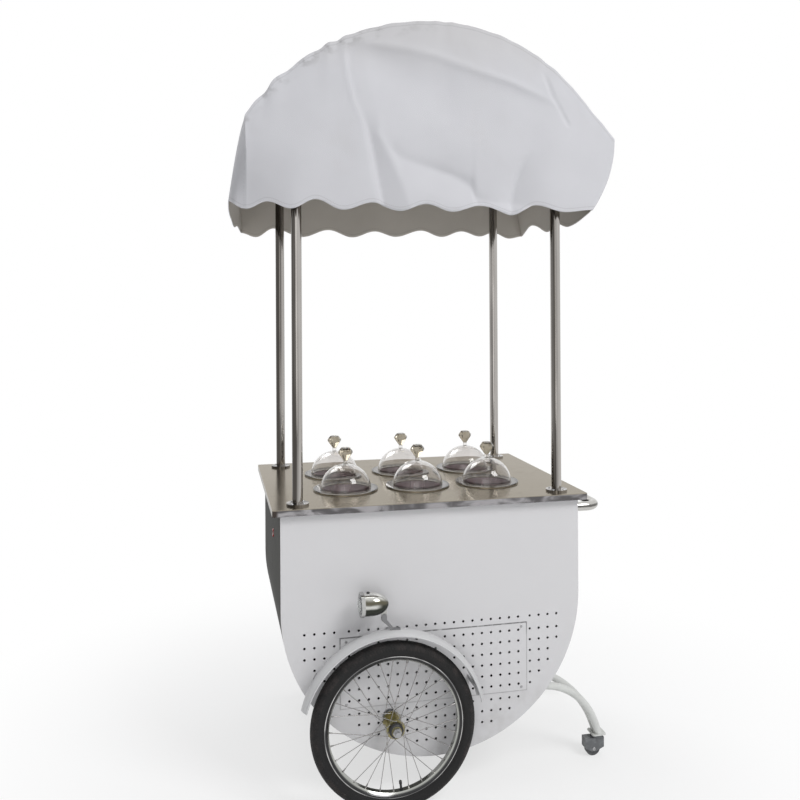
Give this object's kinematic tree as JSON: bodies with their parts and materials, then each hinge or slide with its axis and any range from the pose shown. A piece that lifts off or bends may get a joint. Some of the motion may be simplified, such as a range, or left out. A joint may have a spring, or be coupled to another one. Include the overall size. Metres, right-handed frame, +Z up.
{
  "type": "ice cream cart",
  "caption": "Push cart with a half-round perforated cabinet, spoked wheels with mudguards and lamps, rear casters, domed ice cream pans in a steel counter and an arched canvas canopy.",
  "frame": {"origin": "on the ground under the middle of the cart", "axes": "+X towards the push handle and the casters, +Y across the cart to its far side, +Z up"},
  "size_m": [1.2077, 0.963, 2.352],
  "materials": {
    "white_paint": "semi-gloss",
    "stainless": "polished",
    "end_steel": "satin",
    "clear_acrylic": "clear gloss",
    "canvas": "matt woven",
    "frame_bar": "satin",
    "foam_skin": "smooth",
    "tyre": "matt",
    "chrome": "mirror",
    "spoke_steel": "bright",
    "axle_steel": "satin",
    "zinc_yellow": "satin",
    "lamp_glass": "clear",
    "dark_plastic": "matt",
    "caster_tread": "matt",
    "grey_paint": "satin",
    "black_paint": "satin",
    "red_plastic": "gloss"
  },
  "bodies": {
    "cabinet": {"near_side_panel": "white_paint", "near_vent_panel": "white_paint", "near_fender": "white_paint", "near_lamp_bracket": "chrome", "canopy_near_arch": "frame_bar", "near_leg": "grey_paint", "far_side_panel": "white_paint", "far_vent_panel": "white_paint", "far_fender": "white_paint", "far_lamp_bracket": "chrome", "canopy_far_arch": "frame_bar", "far_leg": "grey_paint", "near_front_post": "stainless", "near_rear_post": "stainless", "far_front_post": "stainless", "far_rear_post": "stainless", "wrap_panel": "end_steel", "countertop": "stainless", "inner_frame": "frame_bar", "insulated_tank": "foam_skin", "axle": "axle_steel", "axle_nuts": "axle_steel", "fender_stays": "axle_steel", "canopy_rails": "frame_bar", "canopy_cover": "canvas", "push_handle": "stainless", "compressor": "black_paint", "condenser": "frame_bar"},
    "near_wheel": {"near_tyre": "tyre", "near_rim": "chrome", "near_spokes": "spoke_steel", "near_hub": "zinc_yellow"},
    "near_caster": {"near_caster_fork": "dark_plastic"},
    "near_roller": {"near_caster_wheel": "caster_tread"},
    "near_lamp": {"near_lamp_shell": "chrome", "near_lamp_lens": "lamp_glass"},
    "near_lamp_button": {"near_lamp_switch": "dark_plastic"},
    "far_wheel": {"far_tyre": "tyre", "far_rim": "chrome", "far_spokes": "spoke_steel", "far_hub": "zinc_yellow"},
    "far_caster": {"far_caster_fork": "dark_plastic"},
    "far_roller": {"far_caster_wheel": "caster_tread"},
    "far_lamp": {"far_lamp_shell": "chrome", "far_lamp_lens": "lamp_glass"},
    "far_lamp_button": {"far_lamp_switch": "dark_plastic"},
    "near_front_tub": {"near_front_pan": "stainless"},
    "near_front_cover": {"near_front_lid": "clear_acrylic"},
    "near_middle_tub": {"near_middle_pan": "stainless"},
    "near_middle_cover": {"near_middle_lid": "clear_acrylic"},
    "near_rear_tub": {"near_rear_pan": "stainless"},
    "near_rear_cover": {"near_rear_lid": "clear_acrylic"},
    "far_front_tub": {"far_front_pan": "stainless"},
    "far_front_cover": {"far_front_lid": "clear_acrylic"},
    "far_middle_tub": {"far_middle_pan": "stainless"},
    "far_middle_cover": {"far_middle_lid": "clear_acrylic"},
    "far_rear_tub": {"far_rear_pan": "stainless"},
    "far_rear_cover": {"far_rear_lid": "clear_acrylic"},
    "blower": {"fan": "dark_plastic"},
    "rocker": {"power_switch": "red_plastic"}
  },
  "joints": [
    {"name": "near_wheel_spin", "type": "hinge", "parent": "cabinet", "child": "near_wheel", "pos_m": [-0.146, -0.417, 0.251], "axis": [0, 1, 0], "continuous": true},
    {"name": "near_caster_swivel", "type": "hinge", "parent": "cabinet", "child": "near_caster", "pos_m": [0.58, -0.258, 0.066], "axis": [0, 0, 1], "continuous": true},
    {"name": "near_caster_roll", "type": "hinge", "parent": "near_caster", "child": "near_roller", "pos_m": [0.564, -0.258, 0.025], "axis": [0, 1, 0], "continuous": true},
    {"name": "near_lamp_tilt", "type": "hinge", "parent": "cabinet", "child": "near_lamp", "pos_m": [-0.174, -0.417, 0.578], "axis": [0, 1, 0], "range_deg": [-15, 15]},
    {"name": "near_lamp_press", "type": "slide", "parent": "near_lamp", "child": "near_lamp_button", "axis": [0, 0, 1], "range_m": [-0.002, 0], "stiffness_N_per_m": 400, "springref_m": 0.0005},
    {"name": "far_wheel_spin", "type": "hinge", "parent": "cabinet", "child": "far_wheel", "pos_m": [-0.146, 0.417, 0.251], "axis": [0, 1, 0], "continuous": true},
    {"name": "far_caster_swivel", "type": "hinge", "parent": "cabinet", "child": "far_caster", "pos_m": [0.58, 0.258, 0.066], "axis": [0, 0, 1], "continuous": true},
    {"name": "far_caster_roll", "type": "hinge", "parent": "far_caster", "child": "far_roller", "pos_m": [0.564, 0.258, 0.025], "axis": [0, 1, 0], "continuous": true},
    {"name": "far_lamp_tilt", "type": "hinge", "parent": "cabinet", "child": "far_lamp", "pos_m": [-0.174, 0.417, 0.578], "axis": [0, 1, 0], "range_deg": [-15, 15]},
    {"name": "far_lamp_press", "type": "slide", "parent": "far_lamp", "child": "far_lamp_button", "axis": [0, 0, 1], "range_m": [-0.002, 0], "stiffness_N_per_m": 400, "springref_m": 0.0005},
    {"name": "near_front_pan_lift", "type": "slide", "parent": "cabinet", "child": "near_front_tub", "axis": [0, 0, 1], "range_m": [0, 0.26]},
    {"name": "near_front_lid_lift", "type": "slide", "parent": "near_front_tub", "child": "near_front_cover", "axis": [0, 0, 1], "range_m": [0, 0.15]},
    {"name": "near_middle_pan_lift", "type": "slide", "parent": "cabinet", "child": "near_middle_tub", "axis": [0, 0, 1], "range_m": [0, 0.26]},
    {"name": "near_middle_lid_lift", "type": "slide", "parent": "near_middle_tub", "child": "near_middle_cover", "axis": [0, 0, 1], "range_m": [0, 0.15]},
    {"name": "near_rear_pan_lift", "type": "slide", "parent": "cabinet", "child": "near_rear_tub", "axis": [0, 0, 1], "range_m": [0, 0.26]},
    {"name": "near_rear_lid_lift", "type": "slide", "parent": "near_rear_tub", "child": "near_rear_cover", "axis": [0, 0, 1], "range_m": [0, 0.15]},
    {"name": "far_front_pan_lift", "type": "slide", "parent": "cabinet", "child": "far_front_tub", "axis": [0, 0, 1], "range_m": [0, 0.26]},
    {"name": "far_front_lid_lift", "type": "slide", "parent": "far_front_tub", "child": "far_front_cover", "axis": [0, 0, 1], "range_m": [0, 0.15]},
    {"name": "far_middle_pan_lift", "type": "slide", "parent": "cabinet", "child": "far_middle_tub", "axis": [0, 0, 1], "range_m": [0, 0.26]},
    {"name": "far_middle_lid_lift", "type": "slide", "parent": "far_middle_tub", "child": "far_middle_cover", "axis": [0, 0, 1], "range_m": [0, 0.15]},
    {"name": "far_rear_pan_lift", "type": "slide", "parent": "cabinet", "child": "far_rear_tub", "axis": [0, 0, 1], "range_m": [0, 0.26]},
    {"name": "far_rear_lid_lift", "type": "slide", "parent": "far_rear_tub", "child": "far_rear_cover", "axis": [0, 0, 1], "range_m": [0, 0.15]},
    {"name": "fan_spin", "type": "hinge", "parent": "cabinet", "child": "blower", "pos_m": [-0.1, -0.19, 0.3765], "axis": [0, 1, 0], "continuous": true},
    {"name": "power_rock", "type": "hinge", "parent": "cabinet", "child": "rocker", "pos_m": [-0.467, -0.066, 0.755], "axis": [0, 1, 0], "range_deg": [-9, 9]}
  ]
}
